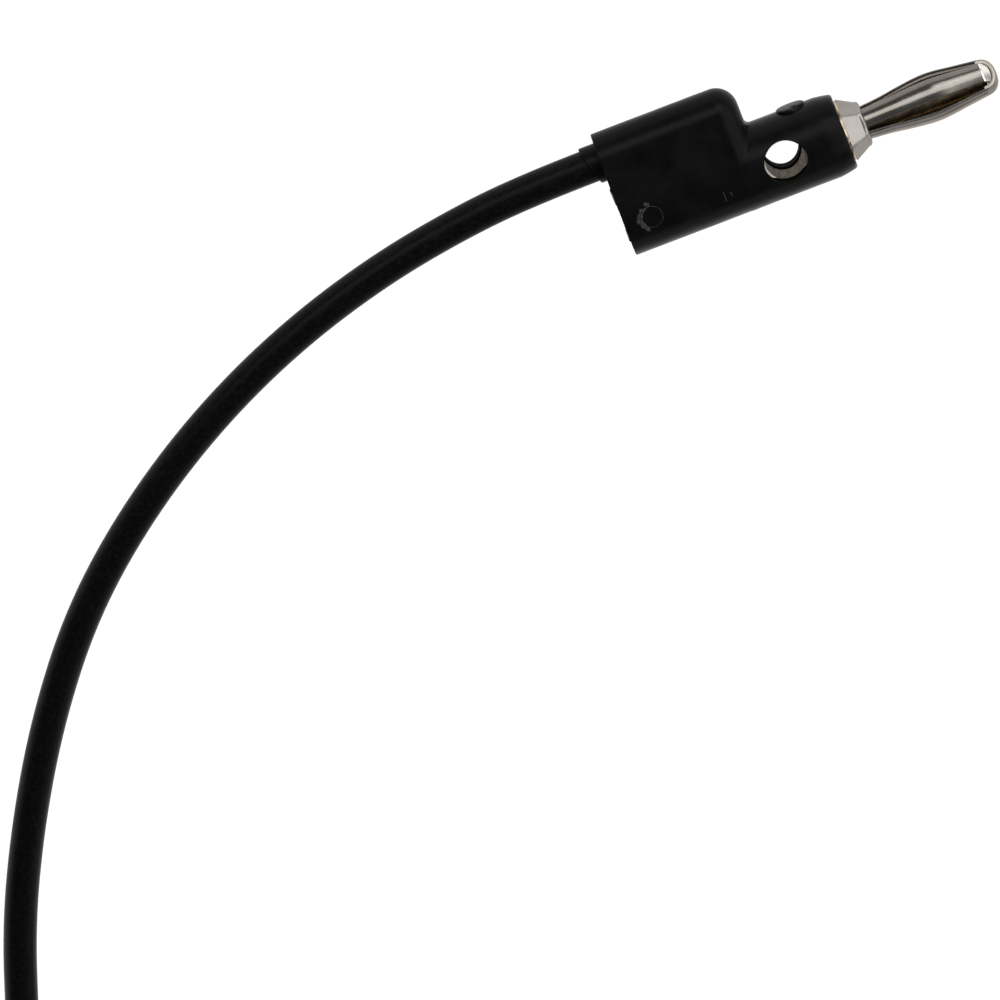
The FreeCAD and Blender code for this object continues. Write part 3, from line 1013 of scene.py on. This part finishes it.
# The inner nose strip gets a far lighter nickel than the other metal: a painted highlight on its bent-over
# facet.
painted_highlight_nickel = nickel("nose_nickel_painted_highlight", (0.86, 0.84, 0.80), 0.16, 0.24, (0, 0, 0))
worn_nickel = nickel("worn_nickel", (0.34, 0.315, 0.285), 0.3, 0.4, (0, 0, 0))
rim_metal = nickel("rim_brass", (0.60, 0.50, 0.36), 0.25, 0.4, (0, 0, 0))
jacket = lead_jacket()
post = dark_brass_painted_shade()
strand = copper()
joint_metal = solder()
lead.data.materials.append(jacket)


def give(node, material):
    """Dress a CAD solid that is shown as it is."""
    made = bpy.data.objects[node]
    made.data.materials.clear()
    made.data.materials.append(material)
    made.data.shade_smooth()
    made.data.set_sharp_from_angle(angle=math.radians(30))


def make_plug(side, seed):
    matrix = plug_matrix(side)
    turn = matrix.to_euler()
    against_turn = tuple(-t for t in turn)
    core_metal = nickel(f"{side}_core_nickel", (0.34, 0.322, 0.306), 0.24, 0.38, against_turn)
    leaf_metal = nickel(f"{side}_leaf_nickel", (0.205, 0.191, 0.177), 0.13, 0.22, against_turn,
                        edge=LEAF_EDGE_TINT)
    make_moulding(side, matrix, plastic, torn, dull, seed)
    make_core(side, matrix, core_metal, bore, seed)
    make_collar_rim(side, matrix, rim_metal, seed)
    make_leaves(side, matrix, leaf_metal)
    make_post(side, matrix, post)
    make_nose(side, matrix, (painted_highlight_nickel, worn_nickel))
    make_sleeve(side, matrix, jacket, seed)
    for node, material in (("jacket_end", jacket), ("conductor", strand), ("solder_joint", joint_metal)):
        give(f"{side}_{node}", material)


make_plug("near", 1.0)
make_plug("far", 21.0)
FAR_PIECES = ["far_moulding", "far_gate_pad", "far_mould_marks", "far_core", "far_sleeve",
              "far_inner_nose_strip", "far_outer_nose_strip", "far_post", "far_collar_rim",
              "far_jacket_end", "far_conductor", "far_solder_joint"]
FAR_PIECES += [f"far_leaf_{k + 1}" for k in range(LEAF_COUNT)]


# ================================================================ floor and light
# The lit floor ends just outside the main view; from other sides the fall-off is seen.
SHEET_EDGES = (((0.389, 0.921), 13.5), ((0.949, -0.314), 24.0))   # outward direction, distance
SHEET_FADE = 110.0
FLOOR_HALF = 1.5           # metres
BEYOND_SHEET = 0.45


def sheet_light(tree):
    """1 on the lit sheet under the part, falling softly to BEYOND_SHEET past two of its edges."""
    coords = tree.nodes.new("ShaderNodeTexCoord")
    level = None
    for way, distance in SHEET_EDGES:
        along = tree.nodes.new("ShaderNodeVectorMath")
        along.operation = "DOT_PRODUCT"
        along.inputs[1].default_value = (way[0], way[1], 0)
        tree.links.new(coords.outputs["Object"], along.inputs[0])
        fade = tree.nodes.new("ShaderNodeMapRange")
        fade.interpolation_type = "SMOOTHSTEP"
        fade.inputs["From Min"].default_value = distance * MM
        fade.inputs["From Max"].default_value = (distance + SHEET_FADE) * MM
        fade.inputs["To Min"].default_value = 1.0
        fade.inputs["To Max"].default_value = BEYOND_SHEET
        tree.links.new(along.outputs["Value"], fade.inputs["Value"])
        if level is None:
            level = fade.outputs["Result"]
            continue
        both = tree.nodes.new("ShaderNodeMath")
        both.operation = "MINIMUM"
        tree.links.new(level, both.inputs[0])
        tree.links.new(fade.outputs["Result"], both.inputs[1])
        level = both.outputs["Value"]
    return level


def make_floor():
    half = FLOOR_HALF
    material, tree, shader = new_material("floor_white", (0.12, 0.12, 0.12), 0.9, specular=0.0)
    floor = mesh_object("floor", [(-half, -half, 0), (half, -half, 0), (half, half, 0), (-half, half, 0)],
                        [(0, 1, 2, 3)], Matrix.Identity(4), material)
    shader.inputs["Emission Color"].default_value = (1, 1, 1, 1)
    tree.links.new(sheet_light(tree), shader.inputs["Emission Strength"])


LIGHT_REACH = 700.0
WORLD_LIGHT = 0.2
SOFTBOXES = [              # name, lean and swing in degrees, size in millimetres, radiance
    ("strip", 53, -4, (1000, 290), 2.6),
    ("high_right", 70, 24, (450, 200), 2.4),
    ("right", 6, 50, (900, 1150), 1.55),
    ("low", -72, 8, (900, 300), 0.7),
]


def make_softbox(name, lean, swing, size, radiance):
    """A softbox LIGHT_REACH away, leaning from upright towards +Y and swung towards +X, in degrees."""
    data = bpy.data.lights.new(name, "AREA")
    data.shape = "RECTANGLE"
    data.size, data.size_y = size[0] * MM, size[1] * MM
    data.energy = radiance * math.pi * data.size * data.size_y
    light = bpy.data.objects.new(name, data)
    bpy.context.scene.collection.objects.link(light)
    a, b = math.radians(lean), math.radians(swing)
    way = Vector((math.sin(b), math.cos(b) * math.sin(a), math.cos(b) * math.cos(a)))
    light.location = way * LIGHT_REACH * MM
    sideways = Vector((1, 0, 0)) if abs(way.x) < 0.9 else Vector((0, 1, 0))
    right = (sideways - way * sideways.dot(way)).normalized()
    up = way.cross(right)
    light.rotation_euler = Matrix((right, up, way)).transposed().to_euler()


def make_light():
    scene = bpy.context.scene
    world = bpy.data.worlds.new("world")
    scene.world = world
    world.use_nodes = True
    background = world.node_tree.nodes["Background"]
    background.inputs["Color"].default_value = (1, 1, 1, 1)
    background.inputs["Strength"].default_value = WORLD_LIGHT
    scene.view_settings.view_transform = "Standard"
    for softbox in SOFTBOXES:
        make_softbox(*softbox)


make_floor()
make_light()
